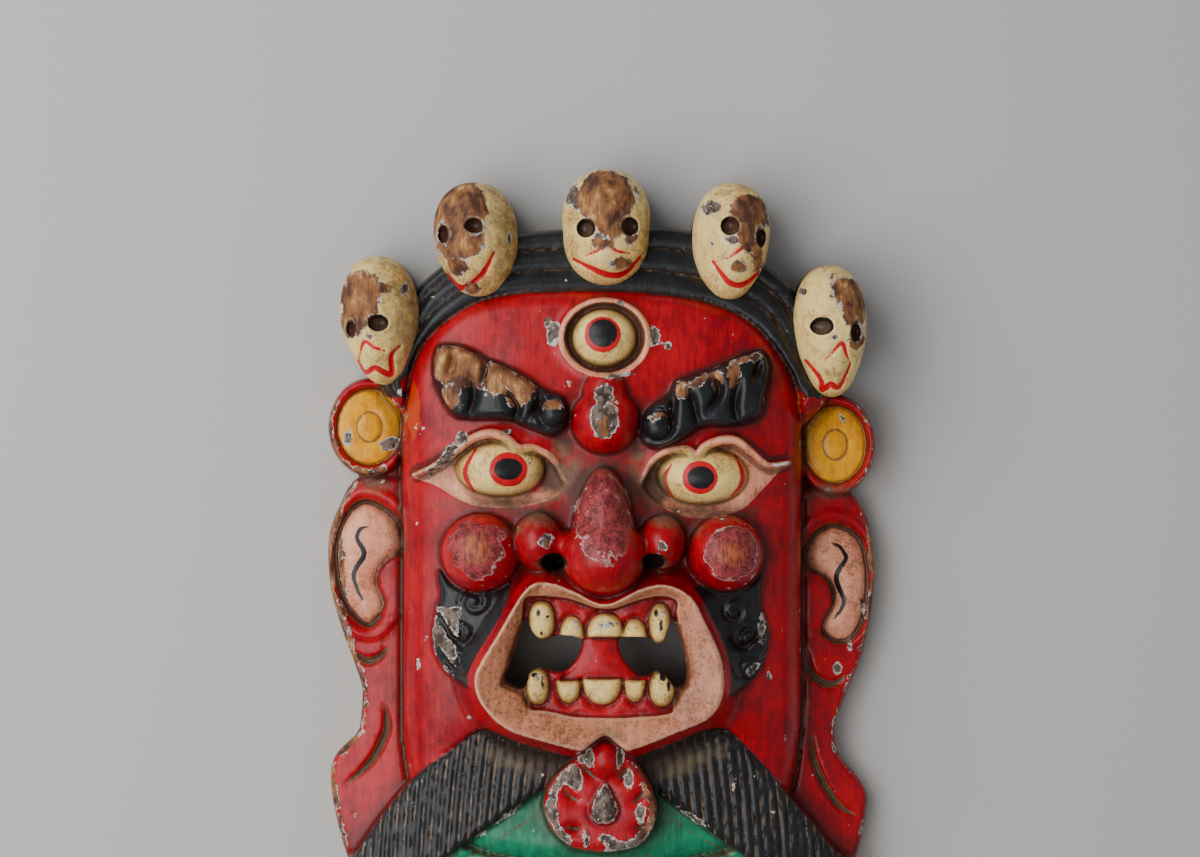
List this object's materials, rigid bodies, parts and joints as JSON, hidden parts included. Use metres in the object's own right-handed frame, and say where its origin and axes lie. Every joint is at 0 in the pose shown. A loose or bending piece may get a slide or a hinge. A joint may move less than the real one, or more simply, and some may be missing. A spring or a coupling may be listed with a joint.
{
  "type": "carved wooden dance mask",
  "caption": "Carved and painted wooden dance mask: wrathful three-eyed fanged face, skull crown, long ears, round earrings, ridged beard and jewelled collar.",
  "frame": {"origin": "middle of the mask's outline, on the flat rim of its back, which it lies on", "axes": "+X to the viewer's right, +Y to the top of the head, +Z out of the face"},
  "size_m": [0.3608, 0.5364, 0.129],
  "materials": {
    "painted_wood": "hand-painted gloss enamel over carved wood: red face, black brows, hair and beard, cream skulls, eyes and teeth, yellow earrings and green collar, chipped to grey primer and worn to bare brown wood, with dust-brown grime in the recesses"
  },
  "bodies": {
    "root": {"mask": "painted_wood"}
  },
  "joints": []
}
